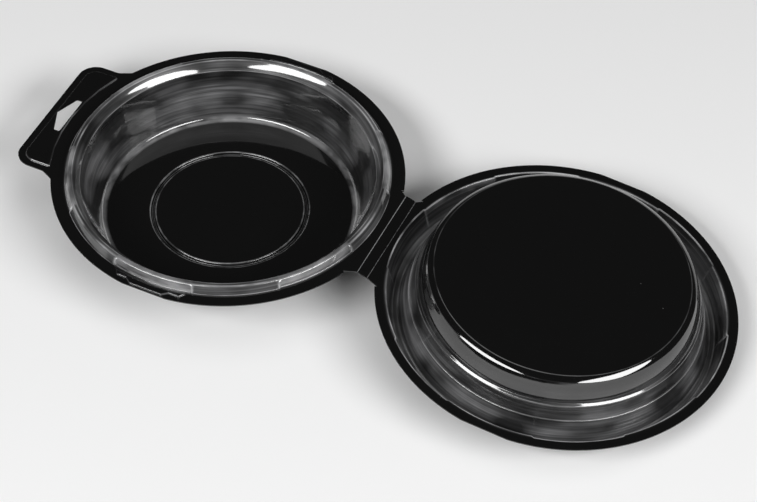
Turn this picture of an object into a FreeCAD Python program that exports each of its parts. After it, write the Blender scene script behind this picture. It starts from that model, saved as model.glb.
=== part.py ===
import FreeCAD, Part
import math
import os

from FreeCAD import Vector

os.makedirs("parts", exist_ok=True)

# A round hinged clamshell pack, thermoformed from one plastic sheet and lying open.
# All sizes are in millimetres. The origin is the middle of the tray's foot ring, on the
# surface that the pack lies on. +X runs from the tray to the lid and +Z is up.
# Profiles follow the middle of the sheet: the first number is the distance from the
# half's own axis, the second is the height above its flange.

# Sheet
sheet = 0.5
draft_deg = 20.0

# Flange, the same on both halves
flange_radius = 93.0
finger_flat = 0.8
flange_blend = 0.9

# Tray dish
tray_depth = 27.4
tray_floor_blend = 4.0
mouth_blend = 1.6

# Foot ring pressed down out of the tray's floor
foot_radius = 40.9
foot_width = 1.2
foot_slope = 0.9
foot_drop = 1.3
foot_blend = 0.6

# Snap ring that stands up round the tray's mouth, from the flange's edge inwards
tray_flange_width = 7.0
snap_outer_slope = 2.4
snap_crest_width = 1.5
snap_inner_slope = 4.2
snap_height = 4.2
snap_blend = 0.9

# Lock ribs low on the snap ring, and high in the lid's channel
lock_count = 6
lock_span_deg = 30.0
lock_rise = 0.6
lock_bite = 0.2
tray_lock_low = 0.5
tray_lock_high = 2.6
lid_lock_low = 3.2
lid_lock_high = 1.0

# Lid: a channel below the flange, and a plug that stands up inside it, from the edge inwards
lid_flange_width = 5.1
channel_depth = 12.0
channel_slope = 4.7
channel_width = 3.4
channel_blend = 1.2
plug_height = 22.7
plug_blend = 3.0
ledge_height = 8.8
ledge_width = 0.9
ring_height = 0.3
ring_width = 0.4
ledge_blend = 0.4

# Hang tab on the end of the tray, with its raised pad
tab_half_width = 41.0
tab_reach = 14.5
tab_corner = 10.0
tab_flare = 5.0
pad_inset = 3.6
pad_corner = 7.0
pad_rise = 0.8
pad_back_gap = 0.9

# Hang hole: a long low five-sided hole
hole_width = 25.0
hole_side = 3.2
hole_height = 8.2
hole_corner = 0.8
hole_gap = 0.9

# Finger pads raised on the tray's flange, one on each side, that hold the flanges apart
finger_pad_half = 21.0
finger_pad_inset = 4.4
finger_neck_half = 9.0
finger_pad_end = 3.2
finger_pad_rise = 0.7
finger_pad_corner = 0.8
finger_edge_gap = 1.0

# Hinge: two creases with a strip between them
crease_inset = 1.9
strip_width = 5.8
strip_slope_deg = 20.0
web_half_width = 29.7
web_shift = -4.3
web_flare = 2.4
crease_dip = 0.45
crease_half = 0.8
crease_blend = 0.5
hinge_gap = 0.2
closed_gap = 0.3

# Worked-out values
half_sheet = sheet / 2
cut_reach = pad_rise + finger_pad_rise + 2 * sheet
draft = math.tan(math.radians(draft_deg))
flange_height = tray_depth + foot_drop + half_sheet
crease_x = flange_radius - crease_inset
strip_slope = math.radians(strip_slope_deg)
snap_foot_radius = flange_radius - tray_flange_width
snap_outer_radius = snap_foot_radius - snap_outer_slope
snap_inner_radius = snap_outer_radius - snap_crest_width
tray_mouth_radius = snap_inner_radius - snap_inner_slope
tray_floor_radius = tray_mouth_radius - tray_depth * draft
channel_outer_radius = flange_radius - lid_flange_width
channel_bottom_outer = channel_outer_radius - channel_slope
plug_foot_radius = channel_bottom_outer - channel_width
plug_top_radius = plug_foot_radius - (plug_height + channel_depth) * draft
tray_flange_root = snap_foot_radius + flange_blend
lid_flange_root = channel_outer_radius + flange_blend
web_low_y = web_shift - web_half_width
web_high_y = web_shift + web_half_width


def unit(start, end):
    """The direction from start to end, as a pair."""
    length = math.hypot(end[0] - start[0], end[1] - start[1])
    return ((end[0] - start[0]) / length, (end[1] - start[1]) / length)


def meet(point_a, way_a, point_b, way_b):
    """Where two lines cross, each given by a point and a direction."""
    cross = way_a[0] * way_b[1] - way_a[1] * way_b[0]
    gap = (point_b[0] - point_a[0], point_b[1] - point_a[1])
    along = (gap[0] * way_b[1] - gap[1] * way_b[0]) / cross
    return (point_a[0] + along * way_a[0], point_a[1] + along * way_a[1])


def shifted(corners, shift, closed=False):
    """The corners (a, b, blend) of the line that runs beside these ones, shift to the left."""
    count = len(corners)
    last = count if closed else count - 1
    ways = [unit(corners[i], corners[(i + 1) % count]) for i in range(last)]
    result = []
    for i, (a, b, blend) in enumerate(corners):
        if not closed and i in (0, count - 1):
            way = ways[0] if i == 0 else ways[-1]
            result.append((a - way[1] * shift, b + way[0] * shift, 0.0))
            continue
        before = ways[i - 1]
        after = ways[i]
        turn = before[0] * after[1] - before[1] * after[0]
        near = (a - before[1] * shift, b + before[0] * shift)
        far = (a - after[1] * shift, b + after[0] * shift)
        corner = meet(near, before, far, after)
        side = 1.0 if turn > 0 else -1.0
        result.append((corner[0], corner[1], max(blend - side * shift, 0.0)))
    return result


def path_edges(corners, lift, closed=False):
    """Straight and round edges through the corners; lift turns a pair into a 3-D point."""
    count = len(corners)
    starts = []
    edges = []
    arcs = []
    for i, (a, b, blend) in enumerate(corners):
        inner = closed or 0 < i < count - 1
        if not inner or blend <= 0.0:
            starts.append(((a, b), (a, b)))
            continue
        back = unit((a, b), corners[i - 1])
        ahead = unit((a, b), corners[(i + 1) % count])
        dot = back[0] * ahead[0] + back[1] * ahead[1]
        half = math.acos(max(-1.0, min(1.0, dot))) / 2
        reach = blend / math.tan(half)
        first = (a + back[0] * reach, b + back[1] * reach)
        second = (a + ahead[0] * reach, b + ahead[1] * reach)
        middle = unit((0, 0), (back[0] + ahead[0], back[1] + ahead[1]))
        drop = blend / math.sin(half) - blend
        top = (a + middle[0] * drop, b + middle[1] * drop)
        starts.append((first, second))
        arcs.append((i, first, top, second))
    rounded = {i: (first, top, second) for i, first, top, second in arcs}
    last = count if closed else count - 1
    for i in range(count):
        if i in rounded:
            first, top, second = rounded[i]
            edges.append(Part.Arc(lift(first), lift(top), lift(second)).toShape())
        if i < last:
            start = starts[i][1]
            end = starts[(i + 1) % count][0]
            edges.append(Part.LineSegment(lift(start), lift(end)).toShape())
    return edges


def upright(pair):
    """A profile point in the XZ plane."""
    return Vector(pair[0], 0, pair[1])


def level(pair):
    """An outline point in the XY plane."""
    return Vector(pair[0], pair[1], 0)


def sheet_face(corners):
    """The section of the sheet whose middle line runs through the corners."""
    upper = shifted(corners, half_sheet)
    lower = shifted(corners, -half_sheet)
    edges = path_edges(upper, upright)
    edges.append(Part.LineSegment(upright(upper[-1]), upright(lower[-1])).toShape())
    edges += path_edges(lower, upright)
    edges.append(Part.LineSegment(upright(lower[0]), upright(upper[0])).toShape())
    return Part.Face(Part.Wire(Part.__sortEdges__(edges)))


def turned_sheet(corners):
    """The sheet's section turned once round the half's axis."""
    return sheet_face(corners).revolve(Vector(0, 0, 0), Vector(0, 0, 1), 360)


def flat_face(corners):
    """A flat face inside a closed outline with rounded corners."""
    edges = path_edges(corners, level, closed=True)
    return Part.Face(Part.Wire(Part.__sortEdges__(edges)))


def plate(corners, low, high):
    """A closed outline raised from one height to another."""
    solid = flat_face(corners).extrude(Vector(0, 0, high - low))
    solid.translate(Vector(0, 0, low))
    return solid


def disc(radius):
    """A cylinder through the flange's height, to trim flat sheets round the dish."""
    return Part.makeCylinder(radius, 2 * cut_reach, Vector(0, 0, -cut_reach))


def raise_pad(half, corners, rise, clear_radius):
    """Lift the sheet in a closed outline, outside clear_radius, with walls a sheet thick."""
    inner = shifted(corners, sheet, closed=True)
    hollow = plate(inner, -sheet, rise - half_sheet).cut(disc(clear_radius + sheet))
    lifted = plate(corners, -half_sheet, rise + half_sheet).cut(disc(clear_radius)).cut(hollow)
    return half.cut(plate(inner, -sheet, sheet).cut(disc(clear_radius + sheet))).fuse(lifted)


def lock_ribs(low_corner, high_corner, outward):
    """Ribs that follow a round wall, in equal spans with equal spaces between them."""
    way = unit(low_corner, high_corner)
    side = (way[1] * outward, -way[0] * outward)
    root = half_sheet - lock_bite
    face = half_sheet + lock_rise
    slant = lock_rise
    corners = [
        (low_corner[0] + side[0] * root, low_corner[1] + side[1] * root),
        (high_corner[0] + side[0] * root, high_corner[1] + side[1] * root),
        (high_corner[0] + side[0] * face - way[0] * slant, high_corner[1] + side[1] * face - way[1] * slant),
        (low_corner[0] + side[0] * face + way[0] * slant, low_corner[1] + side[1] * face + way[1] * slant),
    ]
    points = [upright(corner) for corner in corners]
    section = Part.Face(Part.makePolygon(points + [points[0]]))
    ribs = []
    for i in range(lock_count):
        rib = section.revolve(Vector(0, 0, 0), Vector(0, 0, 1), lock_span_deg)
        middle_deg = (i + 0.5) * 360.0 / lock_count
        rib.rotate(Vector(0, 0, 0), Vector(0, 0, 1), middle_deg - lock_span_deg / 2)
        ribs.append(rib)
    return ribs


def wall_point(low, high, height):
    """The point of a straight wall at a height above the flange."""
    share = (height - low[1]) / (high[1] - low[1])
    return (low[0] + share * (high[0] - low[0]), height)


def finger_pad(side):
    """The outline of a raised finger pad on one side of a flange, in order round it."""
    root_y = math.sqrt(tray_flange_root ** 2 - finger_pad_half ** 2) - sheet
    line_y = flange_radius - finger_pad_inset
    edge_y = flange_radius - finger_flat - finger_edge_gap
    right = [
        (finger_pad_half, root_y, 0.0),
        (finger_pad_half - finger_pad_end, line_y, finger_pad_corner),
        (finger_neck_half + finger_pad_end, line_y, finger_pad_corner),
        (finger_neck_half, edge_y, finger_pad_corner),
    ]
    outline = right + [(-x, y, blend) for x, y, blend in reversed(right)]
    if side < 0:
        outline = [(x, -y, blend) for x, y, blend in reversed(outline)]
    return outline


def trim_flats(half):
    """Cut the two small flats that a finger finds on the flange's sides."""
    for side in (-1, 1):
        start = flange_radius - finger_flat
        low_y = start if side > 0 else -start - finger_flat * 2
        block = Part.makeBox(
            flange_radius, finger_flat * 2, 2 * cut_reach, Vector(-flange_radius / 2, low_y, -cut_reach)
        )
        half = half.cut(block)
    return half


def hinge_web(crease, strip_end, flange_root):
    """The flat web beside the crease with half of the strip, from its profile in the XZ plane."""
    toward = 1.0 if crease > 0 else -1.0
    widest = max(abs(web_low_y), abs(web_high_y))
    start = toward * (math.sqrt(flange_radius ** 2 - widest ** 2) - web_flare)
    corners = [
        (start, 0.0, 0.0),
        (crease - toward * crease_half, 0.0, crease_blend),
        (crease, -crease_dip, crease_blend),
    ]
    slope = strip_end[1] / (strip_end[0] - crease)
    foot = (crease + toward * crease_half, slope * toward * crease_half)
    corners += [(foot[0], foot[1], crease_blend), (strip_end[0], strip_end[1], 0.0)]
    if toward < 0:
        corners = list(reversed(corners))
    web = sheet_face(corners).extrude(Vector(0, web_high_y - web_low_y, 0))
    web.translate(Vector(0, web_low_y, 0))
    return web.cut(disc(flange_root))


def flare_web(crease):
    """Wedges that widen the web where it meets the flange."""
    toward = 1.0 if crease > 0 else -1.0
    wedges = []
    for edge_y, out in ((web_low_y, -1.0), (web_high_y, 1.0)):
        root_x = toward * (math.sqrt(flange_radius ** 2 - edge_y ** 2) - web_flare)
        tip_x = crease - toward * crease_half
        inner_y = edge_y - out * web_flare
        outline = [
            (root_x, edge_y + out * web_flare, 0.0),
            (tip_x, edge_y, 0.0),
            (root_x, inner_y, 0.0),
        ]
        wedges.append(plate(outline, -half_sheet, half_sheet))
    return wedges


def with_web(half, crease, strip_end, flange_root):
    """Trim the flange at its crease and join the hinge web to it."""
    toward = 1.0 if crease > 0 else -1.0
    start = crease - toward * crease_half
    low_x = min(start, start + toward * 2 * crease_inset)
    block = Part.makeBox(
        2 * crease_inset, 2 * flange_radius, 2 * cut_reach, Vector(low_x, -flange_radius, -cut_reach)
    )
    half = half.cut(block)
    for piece in [hinge_web(crease, strip_end, flange_root)] + flare_web(crease):
        half = half.fuse(piece)
    return half


def tab_outline():
    """The hang tab's outline, from inside the flange round its two corners and back."""
    outer_x = -flange_radius - tab_reach
    root_x = -math.sqrt(flange_radius ** 2 - tab_half_width ** 2)
    flare_x = root_x - tab_flare
    root_y = tab_half_width + tab_flare
    inside_x = -math.sqrt(flange_radius ** 2 - root_y ** 2) + tab_flare / 2
    upper = [
        (inside_x, root_y, 0.0),
        (flare_x, tab_half_width, tab_flare),
        (outer_x, tab_half_width, tab_corner),
    ]
    return upper + [(x, -y, blend) for x, y, blend in reversed(upper)]


def pad_outline():
    """The raised pad's outline: inside the tab's edge, and open towards the dish."""
    outer_x = -flange_radius - tab_reach + pad_inset
    edge_y = tab_half_width - pad_inset
    upper = [
        (outer_x / 2, edge_y, 0.0),
        (outer_x, edge_y, pad_corner),
    ]
    return upper + [(x, -y, blend) for x, y, blend in reversed(upper)]


def hang_hole():
    """The five-sided hang hole, with its long side towards the tray."""
    base_x = -flange_radius - pad_back_gap - hole_gap
    half = hole_width / 2
    outline = [
        (base_x, half, hole_corner),
        (base_x - hole_side, half, hole_corner),
        (base_x - hole_height, 0.0, hole_corner),
        (base_x - hole_side, -half, hole_corner),
        (base_x, -half, hole_corner),
    ]
    return plate(outline, -cut_reach, cut_reach)


def tray_profile():
    """The tray's middle line, from its axis to the flange's edge."""
    slope_in = foot_radius - foot_width / 2
    slope_out = foot_radius + foot_width / 2
    return [
        (0.0, -tray_depth, 0.0),
        (slope_in - foot_slope, -tray_depth, foot_blend),
        (slope_in, -tray_depth - foot_drop, foot_blend),
        (slope_out, -tray_depth - foot_drop, foot_blend),
        (slope_out + foot_slope, -tray_depth, foot_blend),
        (tray_floor_radius, -tray_depth, tray_floor_blend),
        (tray_mouth_radius, 0.0, mouth_blend),
        (snap_inner_radius, snap_height, snap_blend),
        (snap_outer_radius, snap_height, snap_blend),
        (snap_foot_radius, 0.0, flange_blend),
        (flange_radius, 0.0, 0.0),
    ]


def lid_profile():
    """The lid's middle line, from its axis to the flange's edge."""
    foot = (plug_foot_radius, -channel_depth)
    top = (plug_top_radius, plug_height)
    ledge = wall_point(foot, top, ledge_height)
    ring = wall_point(foot, top, ring_height)
    return [
        (0.0, plug_height, 0.0),
        (plug_top_radius, plug_height, plug_blend),
        (ledge[0] - ledge_width / 2, ledge_height, ledge_blend),
        (ledge[0] + ledge_width / 2, ledge_height - ledge_width / 4, ledge_blend),
        (ring[0] - ring_width / 2, ring_height, ledge_blend),
        (ring[0] + ring_width / 2, ring_height - ring_width / 4, ledge_blend),
        (plug_foot_radius, -channel_depth, channel_blend),
        (channel_bottom_outer, -channel_depth, channel_blend),
        (channel_outer_radius, 0.0, flange_blend),
        (flange_radius, 0.0, 0.0),
    ]


def lid_tilt():
    """How far the open lid tilts down until its channel lies on the ground, in radians."""
    steep = math.atan2(channel_depth, channel_outer_radius - channel_bottom_outer)
    centre_x = channel_bottom_outer - channel_blend * math.tan(steep / 2)
    centre_z = -channel_depth + channel_blend
    reach = crease_x + centre_x
    room = flange_height - strip_width * math.sin(strip_slope) - channel_blend - half_sheet
    length = math.hypot(reach, centre_z)
    return math.asin(room / length) - math.atan2(-centre_z, reach)


tilt = lid_tilt()
fold_x = crease_x + strip_width * math.cos(strip_slope)
fold_z = flange_height - strip_width * math.sin(strip_slope)
closed_z = flange_height + sheet + finger_pad_rise + closed_gap
swing = math.pi + tilt
pull = 1 / (2 * math.tan(swing / 2))
pivot_x = (fold_x + crease_x) / 2 - (closed_z - fold_z) * pull
pivot_z = (fold_z + closed_z) / 2 + (crease_x - fold_x) * pull


def make_tray():
    """The tray half: dish, snap ring, flange, hang tab and the near half of the hinge."""
    tray = turned_sheet(tray_profile())
    tab = plate(tab_outline(), -half_sheet, half_sheet).cut(disc(tray_flange_root + sheet))
    tray = trim_flats(tray).fuse(tab)
    tray = raise_pad(tray, pad_outline(), pad_rise, flange_radius + pad_back_gap)
    tray = tray.cut(hang_hole())
    for side in (-1, 1):
        tray = raise_pad(tray, finger_pad(side), finger_pad_rise, tray_flange_root)
    reach = (strip_width - hinge_gap) / 2
    strip_end = (crease_x + reach * math.cos(strip_slope), -reach * math.sin(strip_slope))
    tray = with_web(tray, crease_x, strip_end, tray_flange_root)
    foot = (snap_foot_radius, 0.0)
    crest = (snap_outer_radius, snap_height)
    low = wall_point(foot, crest, tray_lock_low)
    high = wall_point(foot, crest, tray_lock_high)
    for rib in lock_ribs(low, high, 1.0):
        tray = tray.fuse(rib)
    tray = tray.removeSplitter()
    tray.translate(Vector(0, 0, flange_height))
    return tray


def make_lid():
    """The lid half: plug, channel, flange and the far half of the hinge, lying open."""
    lid = trim_flats(turned_sheet(lid_profile()))
    reach = (strip_width - hinge_gap) / 2
    bend = strip_slope - tilt
    strip_end = (-crease_x - reach * math.cos(bend), reach * math.sin(bend))
    lid = with_web(lid, -crease_x, strip_end, lid_flange_root)
    foot = (channel_bottom_outer, -channel_depth)
    edge = (channel_outer_radius, 0.0)
    low = wall_point(foot, edge, -lid_lock_low)
    high = wall_point(foot, edge, -lid_lock_high)
    for rib in lock_ribs(low, high, -1.0):
        lid = lid.fuse(rib)
    lid = lid.removeSplitter()
    lid.translate(Vector(crease_x, 0, 0))
    lid.rotate(Vector(0, 0, 0), Vector(0, 1, 0), math.degrees(tilt))
    lid.translate(Vector(fold_x, 0, fold_z))
    return lid


for name, half in (("tray", make_tray()), ("lid", make_lid())):
    box = half.BoundBox
    print(name, "solids", len(half.Solids), "valid", half.isValid(), "volume", round(half.Volume, 1))
    print(name, [round(v, 3) for v in (box.XMin, box.XMax, box.YMin, box.YMax, box.ZMin, box.ZMax)])
    half.exportStep("parts/" + name + ".step")

print("pivot", round(pivot_x, 4), round(pivot_z, 4), "swing", round(math.degrees(swing), 4))
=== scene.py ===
import bmesh
import bpy
import math
import numpy as np
from mathutils import Matrix, Vector
from mathutils.geometry import delaunay_2d_cdt


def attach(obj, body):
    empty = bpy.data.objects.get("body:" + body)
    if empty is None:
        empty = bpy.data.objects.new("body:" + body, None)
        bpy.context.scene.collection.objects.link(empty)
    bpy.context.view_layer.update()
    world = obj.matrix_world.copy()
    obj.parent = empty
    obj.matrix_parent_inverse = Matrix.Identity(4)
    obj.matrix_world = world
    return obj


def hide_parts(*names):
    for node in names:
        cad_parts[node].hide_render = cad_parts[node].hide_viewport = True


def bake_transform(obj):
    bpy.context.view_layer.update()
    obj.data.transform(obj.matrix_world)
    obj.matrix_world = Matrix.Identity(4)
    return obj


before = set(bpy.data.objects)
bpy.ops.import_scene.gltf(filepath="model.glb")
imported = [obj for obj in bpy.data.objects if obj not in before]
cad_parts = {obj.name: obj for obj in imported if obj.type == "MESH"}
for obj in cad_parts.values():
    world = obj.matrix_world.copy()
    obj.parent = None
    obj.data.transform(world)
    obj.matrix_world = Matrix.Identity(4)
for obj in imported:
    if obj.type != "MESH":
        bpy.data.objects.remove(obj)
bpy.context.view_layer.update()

# Lengths are in millimetres until a mesh is made
MM = 0.001

# Sheet and flange
SHEET = 0.5
DRAFT = math.tan(math.radians(20.0))
FLANGE_RADIUS = 93.0
FLAT = 0.8
FLANGE_BLEND = 0.9
TRAY_ROOT_BLEND = FLANGE_BLEND * 0.6
TRAY_ROOT_RUN = 0.25
LID_ROOT_BLEND = FLANGE_BLEND * 0.7
LID_ROOT_RUN = 0.2
CUT_EDGE = math.radians(65.0)

# Tray dish, foot ring and snap ring
TRAY_DEPTH = 27.4
MOUTH_RADIUS = 77.9
FLOOR_BLEND = 4.0
MOUTH_BLEND = 1.6
FOOT_RADIUS = 40.9
FOOT_WIDTH = 1.2
FOOT_SLOPE = 0.9
FOOT_DROP = 1.3
FOOT_BLEND = 0.6
SNAP_HEIGHT = 4.2
SNAP_INNER = 81.75
SNAP_OUTER = 83.6
SNAP_FOOT = 86.0
SNAP_BLEND = 0.9
SNAP_CROWN = 0.22
SNAP_ROUND = 18.0

# Lid channel and plug
CHANNEL_DEPTH = 12.0
CHANNEL_OUTER = 87.9
CHANNEL_WIDTH = 3.4
PLUG_FOOT = 79.8
CHANNEL_BLEND = 1.2
PLUG_HEIGHT = 22.7
PLUG_EDGE = 2.0
EDGE_SLOPE = math.tan(math.radians(36.0))
EDGE_CROWN = 0.19
EDGE_ROUND = 12.0
WALL_CROWN = 0.9
WALL_ROUND = 32.0
PLUG_BLEND = 0.8
LEDGE_HEIGHT = 8.8
LEDGE_WIDTH = 1.15
LEDGE_DROP = 0.92
RING_HEIGHT = 0.3
RING_WIDTH = 0.5
RING_BLEND = 0.28
LEDGE_BLEND = 0.4

# Lock segments: six arcs with small ends, low on the snap ring and high in the channel
LOCK_COUNT = 6
LOCK_HALF_DEG = 15.0
LOCK_SOFT_DEG = 0.5
LOCK_BULGE = 0.35
LOCK_UNDERCUT = 0.8
LOCK_BLEND = 0.5
LOCK_INSET = 0.4
LID_LOCK_DEPTH = 3.2
TICK_HALF_DEG = 0.45
TICK_RISE = 0.3
TICK_INSET = 0.3
TICK_LOW = 0.15
LID_TICK_INSET = 1.5
LID_TICK_TOP = 0.3

# How strong the painted highlight along each bend of the sheet is, from 0 to 1
TRAY_TICK_LINE = 0.9
LID_TICK_LINE = 0.45
LOCK_LINE = 0.36
FOOT_LINE = 0.32
FLOOR_LINE = 0.3
SLIGHT_LINE = 0.12
MOUTH_LINE = 0.4
CREST_LINE = 0.55
ROOT_LINE = 0.6
LID_ROOT_LINE = 0.9
LID_LOCK_LINE = 0.35
LEDGE_LINE = 0.3
PAD_LINE = 0.2
PAD_LINE_PLACE = 0.6
PAD_LINE_HALF = 0.4
CREASE_LINE = 0.7

# How much grey is painted on the drawn walls, partly the sheet's haziness and partly painted
# reflection, and where it starts and ends
WALL_GREY_START = 0.5
WALL_GREY_FULL = 5.0
MOUTH_CLEARING = 0.7
MOUTH_CLEAR_LOW = -9.0
MOUTH_CLEAR_HIGH = -3.0
RING_CLEARING = 0.4
RING_CLEAR_WIDTH = 1.0
WALL_GREY_END_IN = 0.5
WALL_GREY_END_OUT = 0.6

# Hang tab, pad and hole
TAB_HALF = 41.0
TAB_REACH = 14.5
TAB_CORNER = 10.0
TAB_FLARE = 5.0
PAD_INSET = 3.6
PAD_CORNER = 7.0
PAD_RISE = 0.8
PAD_BACK = 0.9
PAD_BACK_CORNER = 1.2
PAD_BACK_RUN = 12.0
PAD_WALL = 0.9
HOLE_WIDTH = 25.0
HOLE_SIDE = 3.2
HOLE_HEIGHT = 8.2
HOLE_CORNER = 0.8
HOLE_GAP = 0.9

# Finger pads
FINGER_HALF = 21.0
FINGER_INSET = 4.4
FINGER_NECK = 9.0
FINGER_END = 3.2
FINGER_RISE = 0.7
FINGER_CORNER = 1.2
FINGER_WALL = 0.6
FINGER_ROOT = 1.0
FINGER_BACK = 3.0
FINGER_SPREAD = 1.2
FINGER_EDGE = 1.0

# Hinge
CREASE_INSET = 1.9
STRIP_WIDTH = 5.8
STRIP_SLOPE = math.radians(20.0)
WEB_HALF = 29.7
WEB_SHIFT = -4.3
WEB_FLARE = 2.4
CREASE_DIP = 0.45
CREASE_HALF = 0.8

# Mesh detail
LOCK_STEPS = 4
RING_STEPS = 4
LEDGE_STEPS = 5
FOOT_STEPS = 5
BEND_STEPS = 6
BROAD_STEPS = 8
WALL_STEPS = 10
FLOOR_STEPS = 12
GROOVE_POINTS = 8
STRIP_POINTS = 13
STRIP_ROWS = 61
TINY = 1e-6
STRAIGHT_STEP = 0.1
RUN_GUARD = 0.15
RUN_GUARD_SHARE = 0.25
RUN_POINTS = 3
RING_STEP_DEG = 1.5
LOCK_END_STEPS_DEG = (-1.0, -0.7, -0.45, -0.25, 0.0, 0.25, 0.45, 0.7, 1.0)
LOCK_END_CLEAR_DEG = 0.4
OUTLINE_STEP = 0.8
FINE_STEP = 0.6
RIM_STEP_DEG = 0.6
CREASE_STEP = 3.0
CREASE_END = 0.3
WALL_SHARES = (0.0, 0.2, 0.4, 0.6, 0.8, 1.0)
CREASE_SHARES = (0.15, 0.3, 0.5, 0.7, 0.85, 1.0)
ROOT_CLEAR = 0.1
ROOT_RINGS = (0.3, 0.55, 0.8, 1.1)
ROOT_FADE = 1.2
WEB_SLACK = 0.01
MERGE_GAP = 1e-5
WELD_METRES = 2e-6
FLAT_FIRST = 100

# Where the halves sit
FLANGE_HEIGHT = TRAY_DEPTH + FOOT_DROP + SHEET / 2
CREASE_X = FLANGE_RADIUS - CREASE_INSET
CHANNEL_BOTTOM = PLUG_FOOT + CHANNEL_WIDTH
PLUG_TOP = PLUG_FOOT - (PLUG_HEIGHT + CHANNEL_DEPTH) * DRAFT
FOLD_X = CREASE_X + STRIP_WIDTH * math.cos(STRIP_SLOPE)
FOLD_Z = FLANGE_HEIGHT - STRIP_WIDTH * math.sin(STRIP_SLOPE)
WEB_LOW = WEB_SHIFT - WEB_HALF
WEB_HIGH = WEB_SHIFT + WEB_HALF


def unit(vector):
    """The vector made one long."""
    return vector / np.linalg.norm(vector)


def eased(share):
    """A share from 0 to 1 with a soft start and a soft end."""
    return share * share * (3 - 2 * share)


def soft(value, low, high):
    """A smooth step from 0 at low to 1 at high."""
    return eased(np.clip((value - low) / (high - low), 0, 1))


def corner_arc(before, corner, after, blend, steps):
    """Points on the round corner between two lines."""
    back = unit(before - corner)
    ahead = unit(after - corner)
    if np.linalg.norm(back + ahead) < TINY:
        first = corner + back * STRAIGHT_STEP
        last = corner + ahead * STRAIGHT_STEP
        return list(np.linspace(first, last, steps + 1))
    half = math.acos(np.clip(back @ ahead, -1, 1)) / 2
    centre = corner + unit(back + ahead) * blend / math.sin(half)
    reach = blend / math.tan(half)
    first = corner + back * reach - centre
    last = corner + ahead * reach - centre
    start = math.atan2(first[1], first[0])
    turn = math.atan2(first[0] * last[1] - first[1] * last[0], first @ last)
    angles = start + turn * np.linspace(0, 1, steps + 1)
    return [centre + blend * np.array([math.cos(a), math.sin(a)]) for a in angles]


def sampled(corners):
    """A profile's points with round corners and straight runs, each with how strong the painted
    highlight on its bend is.

    A corner is its radius, its height, the radius and steps of its round, and how strong its
    painted highlight is.
    """
    points = [np.array(c[:2], float) for c in corners]
    pieces = []
    for i, (_, _, blend, steps, line) in enumerate(corners):
        if i in (0, len(corners) - 1) or blend <= 0:
            arc = [points[i]]
        else:
            arc = corner_arc(points[i - 1], points[i], points[i + 1], blend, steps)
        share = np.sin(math.pi * (np.arange(len(arc)) + 0.5) / len(arc))
        pieces.append([np.append(point, line * part) for point, part in zip(arc, share)])
    result = []
    for i, piece in enumerate(pieces):
        result += piece
        if i + 1 < len(pieces):
            start = piece[-1][:2]
            end = pieces[i + 1][0][:2]
            length = np.linalg.norm(end - start)
            edge = min(RUN_GUARD / max(length, TINY), RUN_GUARD_SHARE)
            for share in np.linspace(edge, 1 - edge, RUN_POINTS):
                result.append(np.append(start + (end - start) * share, 0.0))
    return np.array(result)


def crowned(first, last, rise):
    """The middle of a slope, raised so that the slope is a little round."""
    first = np.array(first, float)
    last = np.array(last, float)
    outward = unit(np.array([first[1] - last[1], last[0] - first[0]]))
    return (first + last) / 2 + rise * outward


def lock_angles():
    """Angles round the ring, close together where the lock segments end, in radians."""
    coarse = np.arange(0, 360, RING_STEP_DEG)
    ends = []
    for i in range(LOCK_COUNT):
        middle = (i + 0.5) * 360 / LOCK_COUNT
        for end in (middle - LOCK_HALF_DEG, middle + LOCK_HALF_DEG):
            ends += [end + step for step in LOCK_END_STEPS_DEG]
    kept = [a for a in coarse if min(abs(a - e) for e in ends) > LOCK_END_CLEAR_DEG]
    return np.radians(np.sort(np.array(kept + ends)))


def lock_share(angles):
    """How far each angle is inside a lock segment, from 0 to 1, and how near it is to an end."""
    degrees = np.degrees(angles)
    inside = np.zeros(len(degrees))
    near = np.zeros(len(degrees))
    for i in range(LOCK_COUNT):
        middle = (i + 0.5) * 360 / LOCK_COUNT
        away = np.abs((degrees - middle + 180) % 360 - 180)
        share = np.clip((LOCK_HALF_DEG + LOCK_SOFT_DEG - away) / (2 * LOCK_SOFT_DEG), 0, 1)
        inside = np.maximum(inside, eased(share))
        near = np.maximum(near, np.exp(-((away - LOCK_HALF_DEG) / TICK_HALF_DEG) ** 2))
    return inside, near


def turned(plain, locked, tick_rows, tick_line, angles):
    """Points of a dish whose outer wall changes from plain to locked, and the painted highlight on
    each one.
    """
    inside, near = lock_share(angles)
    shape = plain[None] + inside[:, None, None] * (locked - plain)[None]
    shape[:, tick_rows, 0] += near[:, None] * TICK_RISE
    # The ends of the lock segments get a painted highlight
    shape[:, tick_rows, 2] = np.maximum(shape[:, tick_rows, 2], near[:, None] * tick_line)
    x = shape[:, :, 0] * np.cos(angles)[:, None]
    y = shape[:, :, 0] * np.sin(angles)[:, None]
    return np.stack([x, y, shape[:, :, 1]], -1), shape[:, :, 2]


def dish_faces(rings, rows):
    """Quads between the rows of a turned dish, with a fan at its middle."""
    faces = []
    for i in range(rings):
        j = (i + 1) % rings
        faces.append((0, 1 + i * (rows - 1), 1 + j * (rows - 1)))
        for k in range(rows - 2):
            a = 1 + i * (rows - 1) + k
            b = 1 + j * (rows - 1) + k
            faces.append((a, a + 1, b + 1, b))
    return faces


def outline(corners, spacing=OUTLINE_STEP):
    """A closed outline with round corners, as evenly spaced points."""
    points = [np.array(c[:2], float) for c in corners]
    count = len(corners)
    path = []
    for i, (_, _, blend) in enumerate(corners):
        if blend <= 0:
            path.append(points[i])
            continue
        steps = max(3, int(blend * math.pi / spacing))
        path += corner_arc(points[i - 1], points[i], points[(i + 1) % count], blend, steps)
    return respaced(np.array(path), spacing)


def respaced(path, spacing, closed=True):
    """The path with points added on runs longer than the spacing."""
    result = []
    last = len(path) if closed else len(path) - 1
    for i in range(last):
        start = path[i]
        end = path[(i + 1) % len(path)]
        steps = max(1, int(math.ceil(np.linalg.norm(end - start) / spacing)))
        result += [start + (end - start) * k / steps for k in range(steps)]
    if not closed:
        result.append(path[-1])
    return np.array(result)


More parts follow.
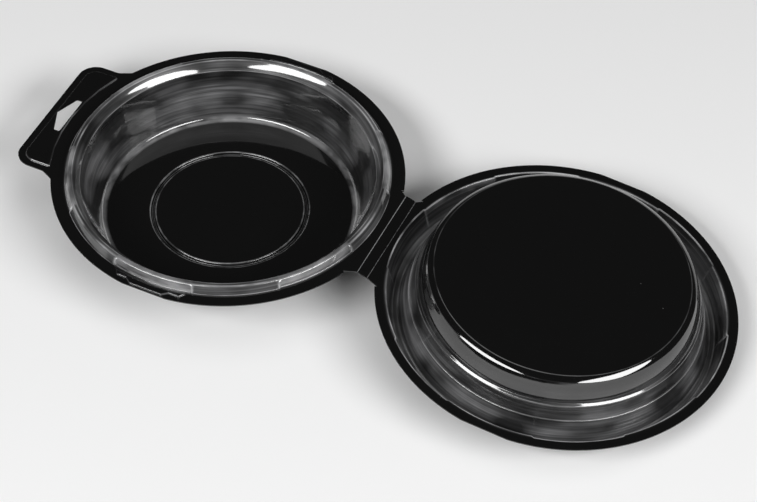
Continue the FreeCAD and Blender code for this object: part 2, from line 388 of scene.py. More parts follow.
def inset(path, amount):
    """A closed path moved to its left, which is inwards for one that runs anticlockwise."""
    before = np.roll(path, 1, 0)
    after = np.roll(path, -1, 0)
    way = after - before
    way /= np.linalg.norm(way, axis=1)[:, None]
    return path + amount * np.stack([-way[:, 1], way[:, 0]], -1)


def inside_of(path, points):
    """Which points lie inside a closed path."""
    x = points[:, 0]
    y = points[:, 1]
    odd = np.zeros(len(points), bool)
    for (ax, ay), (bx, by) in zip(path, np.roll(path, -1, 0)):
        if ay == by:
            continue
        crosses = (ay > y) != (by > y)
        odd ^= crosses & (x < (bx - ax) * (y - ay) / (by - ay) + ax)
    return odd


def distance_to(path, points):
    """How far each point is from a closed path."""
    best = np.full(len(points), np.inf)
    for a, b in zip(path, np.roll(path, -1, 0)):
        run = b - a
        share = np.clip(((points - a) @ run) / max(run @ run, TINY ** 2), 0, 1)
        best = np.minimum(best, np.linalg.norm(points - a - share[:, None] * run, axis=1))
    return best


def pad_height(path, rise, wall, points):
    """The height of a pad with soft walls: 0 outside its outline, its full rise further in."""
    depth = distance_to(path, points) * inside_of(path, points)
    return rise * eased(np.clip(depth / wall, 0, 1))


def tab_points():
    """The hang tab's outline, which reaches in over the flange."""
    outer_x = -FLANGE_RADIUS - TAB_REACH
    flare_x = -math.sqrt(FLANGE_RADIUS ** 2 - TAB_HALF ** 2) - TAB_FLARE
    root_y = TAB_HALF + TAB_FLARE
    inside_x = -math.sqrt(FLANGE_RADIUS ** 2 - root_y ** 2) + TAB_FLARE / 2
    upper = [(inside_x, root_y, 0), (flare_x, TAB_HALF, TAB_FLARE), (outer_x, TAB_HALF, TAB_CORNER)]
    return outline(upper + [(x, -y, b) for x, y, b in reversed(upper)])


def pad_points():
    """The raised pad on the tab: it stays inside the tab's edge and clear of the flange."""
    outer_x = -FLANGE_RADIUS - TAB_REACH + PAD_INSET
    edge_y = TAB_HALF - PAD_INSET
    back = FLANGE_RADIUS + PAD_BACK
    corners = [(outer_x, edge_y, PAD_CORNER), (outer_x, -edge_y, PAD_CORNER)]
    runs = [(k * PAD_BACK_RUN, 0) for k in (-2, -1, 0, 1, 2)]
    for y, blend in [(-edge_y, PAD_BACK_CORNER)] + runs + [(edge_y, PAD_BACK_CORNER)]:
        corners.append((-math.sqrt(back ** 2 - y ** 2), y, blend))
    return outline(corners)


def hole_points():
    """The five-sided hang hole."""
    base_x = -FLANGE_RADIUS - PAD_BACK - HOLE_GAP
    half = HOLE_WIDTH / 2
    return outline([
        (base_x, half, HOLE_CORNER),
        (base_x - HOLE_SIDE, half, HOLE_CORNER),
        (base_x - HOLE_HEIGHT, 0.0, HOLE_CORNER),
        (base_x - HOLE_SIDE, -half, HOLE_CORNER),
        (base_x, -half, HOLE_CORNER),
    ], FINE_STEP)


def finger_points(side, root):
    """A finger pad's outline, from inside the flange's root out to a narrow neck."""
    inner_y = math.sqrt(root ** 2 - FINGER_HALF ** 2) - FINGER_BACK
    line_y = FLANGE_RADIUS - FINGER_INSET
    edge_y = FLANGE_RADIUS - FLAT - FINGER_EDGE
    right = [
        (FINGER_HALF + FINGER_SPREAD, inner_y, 0.0),
        (FINGER_HALF - FINGER_END, line_y, FINGER_CORNER),
        (FINGER_NECK + FINGER_END, line_y, FINGER_CORNER),
        (FINGER_NECK, edge_y, FINGER_CORNER),
    ]
    ring = right + [(-x, y, b) for x, y, b in reversed(right)]
    if side < 0:
        ring = [(x, -y, b) for x, y, b in reversed(ring)]
    return outline(ring, FINE_STEP)


def rim_radius(angles):
    """The flange's edge with its two small flats."""
    straight = (FLANGE_RADIUS - FLAT) / np.maximum(np.abs(np.sin(angles)), TINY)
    return np.minimum(FLANGE_RADIUS, straight)


def rim_outline(toward):
    """The flange's outer edge with the hinge web on the side that toward points to."""
    angles = np.radians(np.arange(0, 360, RIM_STEP_DEG))
    radius = rim_radius(angles)
    circle = np.stack([radius * np.cos(angles), radius * np.sin(angles)], -1)
    flare_high = toward * (math.sqrt(FLANGE_RADIUS ** 2 - WEB_HIGH ** 2) - WEB_FLARE)
    flare_low = toward * (math.sqrt(FLANGE_RADIUS ** 2 - WEB_LOW ** 2) - WEB_FLARE)
    web = np.array([
        (flare_low, WEB_LOW - WEB_FLARE),
        (toward * (CREASE_X - CREASE_HALF), WEB_LOW),
        (toward * CREASE_X, WEB_LOW),
        (toward * CREASE_X, WEB_HIGH),
        (toward * (CREASE_X - CREASE_HALF), WEB_HIGH),
        (flare_high, WEB_HIGH + WEB_FLARE),
    ])
    body = []
    for point in circle:
        beyond = toward * point[0] > 0 and WEB_LOW - WEB_FLARE < point[1] < WEB_HIGH + WEB_FLARE
        body.append(not beyond)
    kept = circle[np.array(body)]
    order = np.argsort(np.arctan2(kept[:, 1], -toward * kept[:, 0]))
    kept = kept[order]
    fine = respaced(web, FINE_STEP, closed=False)
    if np.linalg.norm(kept[-1] - fine[0]) > np.linalg.norm(kept[-1] - fine[-1]):
        fine = fine[::-1]
    return np.concatenate([kept, fine])


def join_tab(rim, tab):
    """The rim's outline with the part of the tab that stands out of the flange."""
    out = [p for p in tab if np.hypot(*p) > FLANGE_RADIUS and p[0] < 0]
    angle = [math.atan2(p[1], -p[0]) for p in out]
    reach = max(abs(a) for a in angle)
    kept = []
    for point in rim:
        if point[0] < 0 and abs(math.atan2(point[1], -point[0])) <= reach:
            continue
        kept.append(point)
    kept = np.array(kept)
    order = np.argsort(np.arctan2(kept[:, 1], kept[:, 0]))
    kept = kept[order]
    out = np.array(out)
    if out[0][1] < 0:
        out = out[::-1]
    return np.concatenate([kept, out])


def on_web(points):
    """Which points lie between the web's two ends."""
    return (points[:, 1] > WEB_LOW - WEB_SLACK) & (points[:, 1] < WEB_HIGH + WEB_SLACK)


def crease_away(points, toward):
    """How far each point is from the crease, in half widths of its groove."""
    return np.abs(toward * points[:, 0] - CREASE_X) / CREASE_HALF


def crease_dip(points, toward):
    """The groove along the crease at the web's edge."""
    share = np.clip(1 - crease_away(points, toward), 0, 1)
    return CREASE_DIP * eased(share) * on_web(points)


def round_place(angle, along):
    """Where a point is round the ring and along the profile, without a seam."""
    return np.stack([np.cos(angle), np.sin(angle), along], -1)


def finish_mesh(name, vertices, faces, place, haze_and_reflection, line, around):
    """A shown piece from millimetre points: welded, smooth, and given the sheet's thickness."""
    moved = np.asarray(vertices) @ np.array(place.to_3x3()).T + np.array(place.translation)
    mesh = bpy.data.meshes.new(name)
    mesh.from_pydata((moved * MM).tolist(), [], [tuple(int(i) for i in f) for f in faces])
    # The attributes hold the grey painted on the drawn walls, partly haziness and partly painted
    # reflection, and the painted highlight along the bends
    for label, values in (("haze_and_reflection", haze_and_reflection), ("line", line)):
        shade = mesh.attributes.new(label, "FLOAT", "POINT")
        shade.data.foreach_set("value", np.asarray(values, np.float32))
    ring = mesh.attributes.new("around", "FLOAT_VECTOR", "POINT")
    ring.data.foreach_set("vector", np.asarray(around, np.float32).ravel())
    piece = bpy.data.objects.new(name, mesh)
    bpy.context.scene.collection.objects.link(piece)
    welded = bmesh.new()
    welded.from_mesh(mesh)
    bmesh.ops.remove_doubles(welded, verts=welded.verts, dist=WELD_METRES)
    welded.to_mesh(mesh)
    welded.free()
    for polygon in mesh.polygons:
        polygon.use_smooth = True
    thick = piece.modifiers.new("sheet", "SOLIDIFY")
    thick.thickness = SHEET * MM
    thick.offset = 0.0
    thick.use_even_offset = True
    shaped = piece.evaluated_get(bpy.context.evaluated_depsgraph_get())
    solid = bpy.data.meshes.new_from_object(shaped)
    piece.modifiers.clear()
    piece.data = solid
    solid.name = name
    solid.set_sharp_from_angle(angle=CUT_EDGE)
    flat_first = piece.modifiers.new("flat_first", "WEIGHTED_NORMAL")
    flat_first.weight = FLAT_FIRST
    flat_first.keep_sharp = True
    return piece


def ring_loop(radius, angles):
    """A circle through the given angles."""
    return np.stack([radius * np.cos(angles), radius * np.sin(angles)], -1)


# Tray profile, plain between the lock segments and undercut inside them
floor_edge = MOUTH_RADIUS - TRAY_DEPTH * DRAFT
slope_in = FOOT_RADIUS - FOOT_WIDTH / 2
slope_out = FOOT_RADIUS + FOOT_WIDTH / 2


def tray_profile(bulge, undercut):
    """The tray's middle line from its axis to the flange's root."""
    middle_r = (SNAP_OUTER + SNAP_FOOT) / 2 + bulge
    snap = crowned((MOUTH_RADIUS, 0.0), (SNAP_INNER, SNAP_HEIGHT), SNAP_CROWN)
    return sampled([
        (0.0, -TRAY_DEPTH, 0, 0, 0),
        (slope_in - FOOT_SLOPE, -TRAY_DEPTH, FOOT_BLEND, FOOT_STEPS, FOOT_LINE),
        (slope_in, -TRAY_DEPTH - FOOT_DROP, FOOT_BLEND, FOOT_STEPS, SLIGHT_LINE),
        (slope_out, -TRAY_DEPTH - FOOT_DROP, FOOT_BLEND, FOOT_STEPS, SLIGHT_LINE),
        (slope_out + FOOT_SLOPE, -TRAY_DEPTH, FOOT_BLEND, FOOT_STEPS, FOOT_LINE),
        (floor_edge, -TRAY_DEPTH, FLOOR_BLEND, FLOOR_STEPS, FLOOR_LINE),
        (MOUTH_RADIUS, 0.0, MOUTH_BLEND, BEND_STEPS, MOUTH_LINE),
        (snap[0], snap[1], SNAP_ROUND, BROAD_STEPS, 0),
        (SNAP_INNER, SNAP_HEIGHT, SNAP_BLEND, BEND_STEPS, CREST_LINE),
        (SNAP_OUTER, SNAP_HEIGHT, SNAP_BLEND, BEND_STEPS, CREST_LINE),
        (middle_r, SNAP_HEIGHT / 2, LOCK_BLEND, LOCK_STEPS, SLIGHT_LINE),
        (SNAP_FOOT - undercut, 0.0, TRAY_ROOT_BLEND, BEND_STEPS, ROOT_LINE),
        (SNAP_FOOT + FLANGE_BLEND + TRAY_ROOT_RUN, 0.0, 0, 0, 0),
    ])


angles = lock_angles()
tray_plain = tray_profile(0.0, 0.0)
tray_locked = tray_profile(LOCK_BULGE, LOCK_UNDERCUT)
tray_ticks = (tray_plain[:, 0] > SNAP_OUTER + TICK_INSET) & (tray_plain[:, 1] > TICK_LOW)
lock_rows = (tray_plain[:, 0] > SNAP_INNER + LOCK_INSET) & (tray_plain[:, 1] > TICK_LOW)
# The lock segments get a painted highlight on the snap ring's outer wall
tray_locked[lock_rows, 2] = np.maximum(tray_locked[lock_rows, 2], LOCK_LINE)
tray_dish, tray_line = turned(tray_plain, tray_locked, tray_ticks, TRAY_TICK_LINE, angles)
tray_root = tray_plain[-1][0]

tab = tab_points()
rim = join_tab(rim_outline(1.0), tab)
pad = pad_points()
hole = hole_points()
fingers = [finger_points(side, tray_root) for side in (-1, 1)]


def tray_height(points):
    """Heights of the tray's flange, tab and web above the flange's plane."""
    high = pad_height(pad, PAD_RISE, PAD_WALL, points)
    reach = np.hypot(points[:, 0], points[:, 1])
    clear = soft(reach, tray_root + ROOT_CLEAR, tray_root + FINGER_ROOT)
    for finger in fingers:
        high = np.maximum(high, clear * pad_height(finger, FINGER_RISE, FINGER_WALL, points))
    return high - crease_dip(points, 1.0)


def feature_lines(path, wall):
    """The lines along a pad's soft wall, from its foot to its top."""
    return [inset(path, wall * share) for share in WALL_SHARES]


def flange_mesh(outer, root, holes, pads, lines, height):
    """The flange from its root circle to its outline, with the lines of its pads."""
    loops = list(lines)
    for path, wall in pads:
        loops += feature_lines(path, wall)
    loops += [ring_loop(root + step, angles) for step in ROOT_RINGS]
    nearest = [np.min(np.hypot(loop[:, 0], loop[:, 1])) for loop in loops]
    whole = [loop for loop, near in zip(loops, nearest) if near > root + ROOT_CLEAR]
    cut = [loop for loop, near in zip(loops, nearest) if near <= root + ROOT_CLEAR]
    inner = ring_loop(root, angles)
    points = []
    edges = []
    for loop in [outer, inner] + holes + whole:
        base = len(points)
        points += [Vector((float(p[0]), float(p[1]))) for p in loop]
        edges += [(base + i, base + (i + 1) % len(loop)) for i in range(len(loop))]
    for loop in cut:
        base = len(points)
        clear = np.hypot(loop[:, 0], loop[:, 1]) > root + ROOT_CLEAR
        points += [Vector((float(p[0]), float(p[1]))) for p in loop]
        count = len(loop)
        for i in range(count):
            if clear[i] and clear[(i + 1) % count]:
                edges.append((base + i, base + (i + 1) % count))
    used = sorted({i for edge in edges for i in edge})
    place = {old: new for new, old in enumerate(used)}
    points = [points[i] for i in used]
    edges = [(place[a], place[b]) for a, b in edges]
    made = delaunay_2d_cdt(points, edges, [], 0, MERGE_GAP)
    flat = np.array([(v[0], v[1]) for v in made[0]])
    faces = np.array([f for f in made[2] if len(f) == 3])
    centres = flat[faces].mean(1)
    keep = inside_of(outer, centres) & ~inside_of(inner, centres)
    for opening in holes:
        keep &= ~inside_of(opening, centres)
    faces = faces[keep]
    side_a = flat[faces[:, 1]] - flat[faces[:, 0]]
    side_b = flat[faces[:, 2]] - flat[faces[:, 0]]
    turn = side_a[:, 0] * side_b[:, 1] - side_a[:, 1] * side_b[:, 0]
    faces[turn < 0] = faces[turn < 0][:, ::-1]
    return np.column_stack([flat, height(flat)]), faces


def crease_lines(toward):
    """Lines along the groove of a crease, so that its slope is round."""
    lines = []
    for share in CREASE_SHARES:
        x = toward * (CREASE_X - CREASE_HALF * share)
        ends = np.array([(x, WEB_LOW + CREASE_END), (x, WEB_HIGH - CREASE_END)])
        lines.append(respaced(ends, CREASE_STEP, closed=False))
    return lines


def crease_highlight(points, toward):
    """The painted highlight along the middle of the crease's groove."""
    return CREASE_LINE * np.clip(1 - 2 * crease_away(points, toward), 0, 1) * on_web(points)


def pad_highlight(points, pads):
    """The painted highlight on a pad's edge: a thin line on the middle of its soft wall."""
    pale = np.zeros(len(points))
    for path, wall in pads:
        depth = distance_to(path, points) * inside_of(path, points)
        away = np.abs(depth / wall - PAD_LINE_PLACE) / PAD_LINE_HALF
        pale = np.maximum(pale, PAD_LINE * np.clip(1 - away, 0, 1))
    return pale


def whole_half(name, dish, dish_line, height, outer, holes, pads, toward, place, haze_and_reflection_of):
    """One half of the pack: its turned dish and its flange as one shell."""
    rings, rows = dish.shape[:2]
    lift = height(dish[:, -1, :2].reshape(-1, 2))
    reach = np.hypot(dish[:, :, 0], dish[:, :, 1])
    fade = soft(reach, reach[:, -1:] - ROOT_FADE, reach[:, -1:])
    outer_rows = reach > reach[:, -1:] - ROOT_FADE
    dish = dish.copy()
    dish[:, :, 2] += np.where(outer_rows, fade * lift[:, None], 0)
    body = np.concatenate([dish[0, :1], dish[:, 1:].reshape(-1, 3)])
    faces = dish_faces(rings, rows)
    root = np.hypot(*dish[0, -1, :2])
    flat, triangles = flange_mesh(outer, root, holes, pads, crease_lines(toward), height)
    shift = len(body)
    vertices = np.concatenate([body, flat])
    faces += [tuple(int(i) + shift for i in f) for f in triangles]
    flange_line = np.maximum(crease_highlight(flat, toward), pad_highlight(flat[:, :2], pads))
    line = np.concatenate([dish_line[0, :1], dish_line[:, 1:].reshape(-1), flange_line])
    steps = np.linalg.norm(np.diff(dish[0], axis=0), axis=1)
    along = np.concatenate([[0.0], np.cumsum(steps)])
    dish_along = np.concatenate([along[:1], np.tile(along[1:], rings)])
    flat_along = along[-1] + np.hypot(flat[:, 0], flat[:, 1]) - reach[0, -1]
    around = round_place(
        np.arctan2(vertices[:, 1], vertices[:, 0]), np.concatenate([dish_along, flat_along]),
    )
    return finish_mesh(name, vertices, faces, place, haze_and_reflection_of(vertices), line, around)


def tray_haze_and_reflection(points):
    """How much grey is painted on the dish, partly the sheet's haziness and partly painted
    reflection: 0 on the flange and the floor, 1 low on the dish's wall.
    """
    reach = np.hypot(points[:, 0], points[:, 1])
    height = points[:, 2]
    wall = soft(height, -TRAY_DEPTH + WALL_GREY_START, -TRAY_DEPTH + WALL_GREY_FULL)
    mouth = soft(height, MOUTH_CLEAR_LOW, MOUTH_CLEAR_HIGH) * (reach < MOUTH_RADIUS)
    ring = soft(reach, MOUTH_RADIUS, MOUTH_RADIUS + RING_CLEAR_WIDTH)
    clear = (1 - MOUTH_CLEARING * mouth) * (1 - RING_CLEARING * ring)
    return wall * clear * (1 - soft(reach, SNAP_FOOT - WALL_GREY_END_IN, SNAP_FOOT + WALL_GREY_END_OUT))


tray_place = Matrix.Translation((0, 0, FLANGE_HEIGHT))
tray = whole_half(
    "tray_shell", tray_dish, tray_line, tray_height, rim, [hole],
    [(pad, PAD_WALL), (fingers[0], FINGER_WALL), (fingers[1], FINGER_WALL)],
    1.0, tray_place, tray_haze_and_reflection,
)


# Lid profile
def lid_wall(height):
    """The plug wall's radius at a height above the flange."""
    share = (height + CHANNEL_DEPTH) / (PLUG_HEIGHT + CHANNEL_DEPTH)
    return PLUG_FOOT + share * (PLUG_TOP - PLUG_FOOT)


def channel_wall(height):
    """The channel's outer wall's radius at a height below the flange."""
    return CHANNEL_OUTER + height / CHANNEL_DEPTH * (CHANNEL_OUTER - CHANNEL_BOTTOM)


def lid_profile(bulge, undercut):
    """The lid's middle line from its axis to the flange's root."""
    ledge = lid_wall(LEDGE_HEIGHT)
    ring = lid_wall(RING_HEIGHT)
    low = -LID_LOCK_DEPTH
    edge_in = (PLUG_TOP + PLUG_EDGE * (DRAFT - 1 / EDGE_SLOPE), PLUG_HEIGHT)
    edge_out = (PLUG_TOP + PLUG_EDGE * DRAFT, PLUG_HEIGHT - PLUG_EDGE)
    ledge_top = (ledge - LEDGE_WIDTH / 2, LEDGE_HEIGHT + LEDGE_DROP / 2)
    ledge_low = (ledge + LEDGE_WIDTH / 2, LEDGE_HEIGHT - LEDGE_DROP / 2)
    ring_top = (ring - RING_WIDTH / 2, RING_HEIGHT)
    ring_low = (ring + RING_WIDTH / 2, RING_HEIGHT - RING_WIDTH / 4)
    edge = crowned(edge_in, edge_out, EDGE_CROWN)
    wall = crowned(edge_out, ledge_top, WALL_CROWN)
    return sampled([
        (0.0, PLUG_HEIGHT, 0, 0, 0),
        (edge_in[0], edge_in[1], PLUG_BLEND, BEND_STEPS, SLIGHT_LINE),
        (edge[0], edge[1], EDGE_ROUND, BROAD_STEPS, 0),
        (edge_out[0], edge_out[1], PLUG_BLEND, BEND_STEPS, SLIGHT_LINE),
        (wall[0], wall[1], WALL_ROUND, WALL_STEPS, 0),
        (ledge_top[0], ledge_top[1], LEDGE_BLEND, LEDGE_STEPS, LEDGE_LINE),
        (ledge_low[0], ledge_low[1], LEDGE_BLEND, LEDGE_STEPS, LEDGE_LINE),
        (ring_top[0], ring_top[1], RING_BLEND, RING_STEPS, LEDGE_LINE),
        (ring_low[0], ring_low[1], RING_BLEND, RING_STEPS, LEDGE_LINE),
        (PLUG_FOOT, -CHANNEL_DEPTH, CHANNEL_BLEND, BROAD_STEPS, LEDGE_LINE),
        (CHANNEL_BOTTOM, -CHANNEL_DEPTH, CHANNEL_BLEND, BROAD_STEPS, LEDGE_LINE),
        (channel_wall(low) - bulge, low, LOCK_BLEND, LOCK_STEPS, LID_LOCK_LINE),
        (CHANNEL_OUTER - undercut, 0.0, LID_ROOT_BLEND, BEND_STEPS, LID_ROOT_LINE),
        (CHANNEL_OUTER + FLANGE_BLEND + LID_ROOT_RUN, 0.0, 0, 0, 0),
    ])


lid_plain = lid_profile(0.0, 0.0)
lid_locked = lid_profile(LOCK_BULGE, LOCK_UNDERCUT)
lid_ticks = (lid_plain[:, 0] > CHANNEL_BOTTOM + LID_TICK_INSET) & (lid_plain[:, 1] < -LID_TICK_TOP)
lid_locks = lid_ticks & (lid_plain[:, 1] > -LID_LOCK_DEPTH)
# The lock segments get a painted highlight on the channel's outer wall
lid_locked[lid_locks, 2] = np.maximum(lid_locked[lid_locks, 2], LOCK_LINE)
lid_dish, lid_line = turned(lid_plain, lid_locked, lid_ticks, LID_TICK_LINE, angles)
lid_rim = rim_outline(-1.0)


def lid_height(points):
    """Heights of the lid's flange and web above the flange's plane."""
    return -crease_dip(points, -1.0)


def lid_haze_and_reflection(points):
    """How much grey is painted on the lid, partly the sheet's haziness and partly painted
    reflection: 0 on the flange and the panel, 1 low on the plug's wall, fading towards the top.
    """
    reach = np.hypot(points[:, 0], points[:, 1])
    wall = 1 - soft(points[:, 2], -CHANNEL_DEPTH / 2, PLUG_HEIGHT - PLUG_EDGE)
    channel = 1 - RING_CLEARING * soft(reach, PLUG_FOOT, CHANNEL_BOTTOM)
    end = soft(reach, CHANNEL_OUTER - WALL_GREY_END_IN, CHANNEL_OUTER + WALL_GREY_END_OUT)
    return wall * channel * (1 - end)


def lid_tilt():
    """How far the open lid tilts down, in radians, until its channel lies on the ground."""
    steep = math.atan2(CHANNEL_DEPTH, CHANNEL_OUTER - CHANNEL_BOTTOM)
    centre_x = CHANNEL_BOTTOM - CHANNEL_BLEND * math.tan(steep / 2)
    centre_z = -CHANNEL_DEPTH + CHANNEL_BLEND
    reach = CREASE_X + centre_x
    room = FOLD_Z - CHANNEL_BLEND - SHEET / 2
    return math.asin(room / math.hypot(reach, centre_z)) - math.atan2(-centre_z, reach)


TILT = lid_tilt()
lid_place = (
    Matrix.Translation((FOLD_X, 0, FOLD_Z))
    @ Matrix.Rotation(TILT, 4, "Y")
    @ Matrix.Translation((CREASE_X, 0, 0))
)
lid = whole_half(
    "lid_shell", lid_dish, lid_line, lid_height, lid_rim, [], [], -1.0, lid_place, lid_haze_and_reflection,
)


def strip_mesh():
    """The hinge strip between the two creases, with half of each crease's groove."""
    along = np.concatenate([
        np.linspace(0, CREASE_HALF, GROOVE_POINTS),
        np.linspace(CREASE_HALF, STRIP_WIDTH - CREASE_HALF, STRIP_POINTS)[1:-1],
        np.linspace(STRIP_WIDTH - CREASE_HALF, STRIP_WIDTH, GROOVE_POINTS),
    ])
    across = np.linspace(WEB_LOW, WEB_HIGH, STRIP_ROWS)
    dip = np.maximum(1 - along / CREASE_HALF, 1 - (STRIP_WIDTH - along) / CREASE_HALF)
    dip = CREASE_DIP * eased(np.clip(dip, 0, 1))
    points = []
    for y in across:
        for s, d in zip(along, dip):
            x = CREASE_X + s * math.cos(STRIP_SLOPE)
            points.append((x, y, -s * math.sin(STRIP_SLOPE) - d))
    count = len(along)
    faces = []
    for i in range(len(across) - 1):
        for k in range(count - 1):
            a = i * count + k
            faces.append((a, a + 1, a + 1 + count, a + count))
    points = np.array(points)
    edge = np.minimum(along, STRIP_WIDTH - along) / CREASE_HALF
    # Painted highlight along both creases
    line = np.tile(CREASE_LINE * np.clip(1 - 2 * edge, 0, 1), len(across))
    around = round_place(points[:, 1] / STRIP_WIDTH, np.tile(along, len(across)))
    haze_and_reflection = np.zeros(len(points))
    return finish_mesh("hinge_strip", points, faces, tray_place, haze_and_reflection, line, around)


strip = strip_mesh()


def new_material(name):
    """An empty node material with its output."""
    material = bpy.data.materials.new(name)
    material.use_nodes = True
    tree = material.node_tree
    tree.nodes.clear()
    return material, tree, tree.nodes.new("ShaderNodeOutputMaterial")


def mapped(tree, value, source_range, target_range):
    """A value mapped from one range to another, and held inside it."""
    spread = tree.nodes.new("ShaderNodeMapRange")
    spread.inputs["From Min"].default_value = source_range[0]
    spread.inputs["From Max"].default_value = source_range[1]
    spread.inputs["To Min"].default_value = target_range[0]
    spread.inputs["To Max"].default_value = target_range[1]
    tree.links.new(value, spread.inputs["Value"])
    return spread.outputs[0]


def noise(tree, vector, scale, detail, source_range, target_range, stretch=None):
    """A noise over a vector, mapped from one range to another."""
    source = tree.nodes.new("ShaderNodeTexNoise")
    source.inputs["Scale"].default_value = scale
    source.inputs["Detail"].default_value = detail
    if stretch:
        mapping = tree.nodes.new("ShaderNodeMapping")
        mapping.inputs["Scale"].default_value = stretch
        tree.links.new(vector, mapping.inputs["Vector"])
        vector = mapping.outputs[0]
    tree.links.new(vector, source.inputs["Vector"])
    return mapped(tree, source.outputs[0], source_range, target_range)


def times(tree, first, second):
    """The product of two values."""
    product = tree.nodes.new("ShaderNodeMath")
    product.operation = "MULTIPLY"
    tree.links.new(first, product.inputs[0])
    tree.links.new(second, product.inputs[1])
    return product.outputs[0]


def named(tree, label, output="Fac"):
    """A mesh attribute."""
    node = tree.nodes.new("ShaderNodeAttribute")
    node.attribute_name = label
    return node.outputs[output]


def mixed(tree, factor, first, second):
    """A mix of two colours, of which the first may be a socket."""
    node = tree.nodes.new("ShaderNodeMix")
    node.data_type = "RGBA"
    if isinstance(first, tuple):
        node.inputs["A"].default_value = first
    else:
        tree.links.new(first, node.inputs["A"])
    node.inputs["B"].default_value = second
    tree.links.new(factor, node.inputs["Factor"])
    return node.outputs["Result"]


# Looks of the sheet, and the specks of dust on it
SHEET_IOR = 1.57
SHEET_ROUGHNESS = 0.32
COAT_WEIGHT = 1.0
COAT_IOR = 1.86
WAVE_STRENGTH = 0.05
WAVE_DISTANCE = 0.002
BLACK = (0.0025, 0.0025, 0.0025, 1)
# The grey for the drawn walls is partly haziness and partly painted reflection; the bend colour is
# a painted highlight
HAZE_AND_REFLECTION_GREY = (0.24, 0.24, 0.245, 1)
BEND_HIGHLIGHT = (0.65, 0.65, 0.66, 1)
DUST = (0.3, 0.3, 0.3, 1)
WHOLE = (0.0, 1.0)
SHEEN_RANGE = (0.0, 0.7)
SPECK_CELLS = 65.0
SPECK_EDGE = (0.024, 0.012)
SPECK_CHOICE = (0.6, 1.0)

# Noises: scale, detail, the range that is taken, the range it becomes, and the stretch
PATCHES = (1.0, 2.0, (0.4, 0.62), (0.1, 1.0), (2.2, 2.2, 0.06))
STREAKS = (1.0, 4.0, (0.35, 0.7), (0.3, 1.0), (1.5, 1.5, 0.8))
BROKEN = (1.0, 2.0, (0.38, 0.62), (0.2, 1.0), (5.0, 5.0, 0.15))
SHEEN = (1.0, 3.0, (0.3, 0.7), (0.5, 1.0), (1.2, 1.2, 0.5))
SMEAR = (70.0, 4.0, (0.3, 0.7), (0.03, 0.08))
WAVES = (38.0, 2.0, WHOLE, WHOLE)


def specks(tree, place):
    """A few specks of dust: small dots in some of the cells of a pattern."""
    cells = tree.nodes.new("ShaderNodeTexVoronoi")
    cells.inputs["Scale"].default_value = SPECK_CELLS
    tree.links.new(place, cells.inputs["Vector"])
    dot = mapped(tree, cells.outputs["Distance"], SPECK_EDGE, WHOLE)
    parts = tree.nodes.new("ShaderNodeSeparateColor")
    tree.links.new(cells.outputs["Color"], parts.inputs[0])
    chosen = mapped(tree, parts.outputs[0], SPECK_CHOICE, WHOLE)
    return times(tree, dot, chosen)


def plastic():
    """Glossy near-black sheet: grey painted on its drawn walls, partly haziness and partly painted
    reflection, and painted highlights along its tight bends.
    """
    material, tree, output = new_material("glossy_black_sheet")
    links = tree.links
    shader = tree.nodes.new("ShaderNodeBsdfPrincipled")
    shader.inputs["IOR"].default_value = SHEET_IOR
    shader.inputs["Roughness"].default_value = SHEET_ROUGHNESS
    shader.inputs["Coat Weight"].default_value = COAT_WEIGHT
    shader.inputs["Coat IOR"].default_value = COAT_IOR
    links.new(shader.outputs[0], output.inputs[0])
    place = tree.nodes.new("ShaderNodeTexCoord").outputs["Object"]
    around = named(tree, "around", "Vector")

    patches = noise(tree, around, *PATCHES)
    streaks = noise(tree, around, *STREAKS)
    # Grey on the drawn walls, in patches and streaks: partly the sheet's haziness, partly painted
    # reflection
    haze_and_reflection_share = times(tree, times(tree, patches, streaks), named(tree, "haze_and_reflection"))
    base = mixed(tree, haze_and_reflection_share, BLACK, HAZE_AND_REFLECTION_GREY)
    # Painted highlights along the bends, broken up by noise
    bends = times(tree, noise(tree, around, *BROKEN), named(tree, "line"))
    bent = mixed(tree, bends, base, BEND_HIGHLIGHT)
    links.new(mixed(tree, specks(tree, place), bent, DUST), shader.inputs["Base Color"])
    links.new(noise(tree, place, *SMEAR), shader.inputs["Coat Roughness"])
    sheen = noise(tree, around, *SHEEN)
    drawn = mapped(tree, named(tree, "haze_and_reflection"), WHOLE, SHEEN_RANGE)
    links.new(times(tree, sheen, drawn), shader.inputs["Specular IOR Level"])

    bump = tree.nodes.new("ShaderNodeBump")
    bump.inputs["Strength"].default_value = WAVE_STRENGTH
    bump.inputs["Distance"].default_value = WAVE_DISTANCE
    links.new(noise(tree, place, *WAVES), bump.inputs["Height"])
    links.new(bump.outputs[0], shader.inputs["Normal"])
    links.new(bump.outputs[0], shader.inputs["Coat Normal"])
    return material


sheet_material = plastic()
for piece in (tray, lid, strip):
    piece.data.materials.append(sheet_material)

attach(tray, "tray")
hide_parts("tray")
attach(lid, "lid")
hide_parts("lid")
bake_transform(strip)

# Floor
FLOOR_HALF = 15.0
FLOOR_DROP = 0.0001
FLOOR_COLOUR = (0.9, 0.9, 0.9, 1)
FLOOR_ROUGHNESS = 0.9
FLOOR_SPECULAR = 0.1
floor_mesh = bpy.data.meshes.new("floor")
floor_mesh.from_pydata([
    (-FLOOR_HALF, -FLOOR_HALF, -FLOOR_DROP),
    (FLOOR_HALF, -FLOOR_HALF, -FLOOR_DROP),
    (FLOOR_HALF, FLOOR_HALF, -FLOOR_DROP),
    (-FLOOR_HALF, FLOOR_HALF, -FLOOR_DROP),
], [], [(0, 1, 2, 3)])
floor = bpy.data.objects.new("floor", floor_mesh)
bpy.context.scene.collection.objects.link(floor)
pale, pale_tree, pale_output = new_material("pale_floor")
pale_shader = pale_tree.nodes.new("ShaderNodeBsdfPrincipled")
pale_shader.inputs["Base Color"].default_value = FLOOR_COLOUR
pale_shader.inputs["Roughness"].default_value = FLOOR_ROUGHNESS
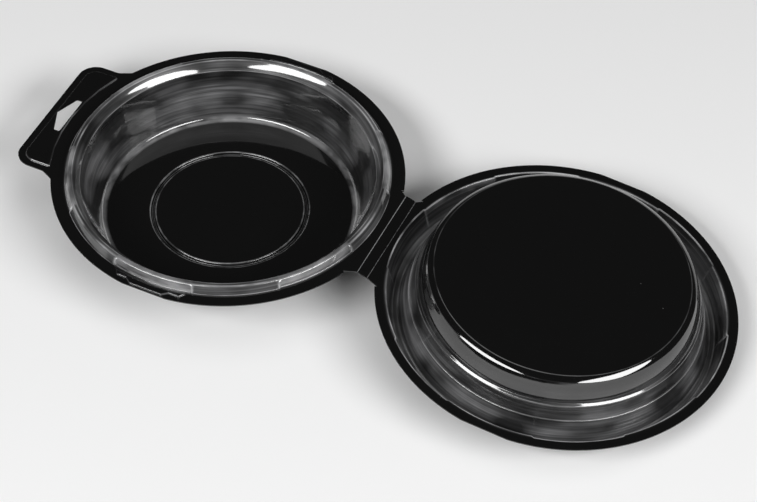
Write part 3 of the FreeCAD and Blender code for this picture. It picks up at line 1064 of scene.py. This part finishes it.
pale_shader.inputs["Specular IOR Level"].default_value = FLOOR_SPECULAR
pale_tree.links.new(pale_shader.outputs[0], pale_output.inputs[0])
floor.data.materials.append(pale)

# World: a dark studio
WORLD_COLOUR = (0.035, 0.035, 0.035, 1)
WORLD_STRENGTH = 1.0
world = bpy.data.worlds.new("studio")
bpy.context.scene.world = world
world.use_nodes = True
backdrop = world.node_tree.nodes["Background"]
backdrop.inputs["Color"].default_value = WORLD_COLOUR
backdrop.inputs["Strength"].default_value = WORLD_STRENGTH

# Camera, fitted to the photo: its distance and target are in flange radii
IMAGE_WIDTH = 757
SENSOR = 36.0
FOCAL_PIXELS = 2610.7
CLIP_END = 50.0
CAMERA_RADII = 14.3457
TARGET_ACROSS = 1.0181
TARGET_ALONG = -0.1721
CAMERA_RISE = math.radians(47.509)
CAMERA_TURN = math.radians(24.587)
CAMERA_ROLL = math.radians(0.867)
target = Vector((TARGET_ACROSS * FLANGE_RADIUS, TARGET_ALONG * FLANGE_RADIUS, FLANGE_HEIGHT))
back = Vector((
    math.sin(CAMERA_TURN) * math.cos(CAMERA_RISE),
    -math.cos(CAMERA_TURN) * math.cos(CAMERA_RISE),
    math.sin(CAMERA_RISE),
))
right = (-back).cross(Vector((0, 0, 1))).normalized()
up = right.cross(-back)
side = right * math.cos(CAMERA_ROLL) + up * math.sin(CAMERA_ROLL)
top = up * math.cos(CAMERA_ROLL) - right * math.sin(CAMERA_ROLL)
camera_data = bpy.data.cameras.new("camera")
camera_data.sensor_width = SENSOR
camera_data.lens = FOCAL_PIXELS * SENSOR / IMAGE_WIDTH
camera_data.clip_end = CLIP_END
camera = bpy.data.objects.new("camera", camera_data)
bpy.context.scene.collection.objects.link(camera)
spot = (target + back * (CAMERA_RADII * FLANGE_RADIUS)) * MM
camera.matrix_world = Matrix.Translation(spot) @ Matrix((side, top, back)).transposed().to_4x4()
bpy.context.scene.camera = camera


def softbox(name, azimuth, elevation, distance, width, height, strength):
    """An oval soft light that faces the object; azimuth is counted from the camera's side."""
    turn = CAMERA_TURN + math.radians(azimuth)
    rise = math.radians(elevation)
    flat = math.cos(rise)
    away = Vector((math.sin(turn) * flat, -math.cos(turn) * flat, math.sin(rise)))
    light = bpy.data.lights.new(name, "AREA")
    light.shape = "ELLIPSE"
    light.size = width
    light.size_y = height
    light.energy = strength * width * height * math.pi ** 2 / 4
    lamp = bpy.data.objects.new(name, light)
    lamp.location = Vector((CREASE_X * MM, 0, 0)) + away * distance
    lamp.rotation_mode = "QUATERNION"
    lamp.rotation_quaternion = away.to_track_quat("Z", "Y")
    bpy.context.scene.collection.objects.link(lamp)


# Lamps: directions in degrees, then distance, width, height and strength
KEY_LEFT = (-46.0, 42.0)
KEY_RIGHT = (50.0, 37.0)
KEY_LAMP = (2.2, 1.85, 0.66, 10.5)
FILL = (180.0, 84.0)
FILL_LAMP = (2.4, 2.3, 2.3, 0.65)
softbox("key_left", *KEY_LEFT, *KEY_LAMP)
softbox("key_right", *KEY_RIGHT, *KEY_LAMP)
softbox("fill", *FILL, *FILL_LAMP)

bpy.context.scene.view_settings.view_transform = "Standard"
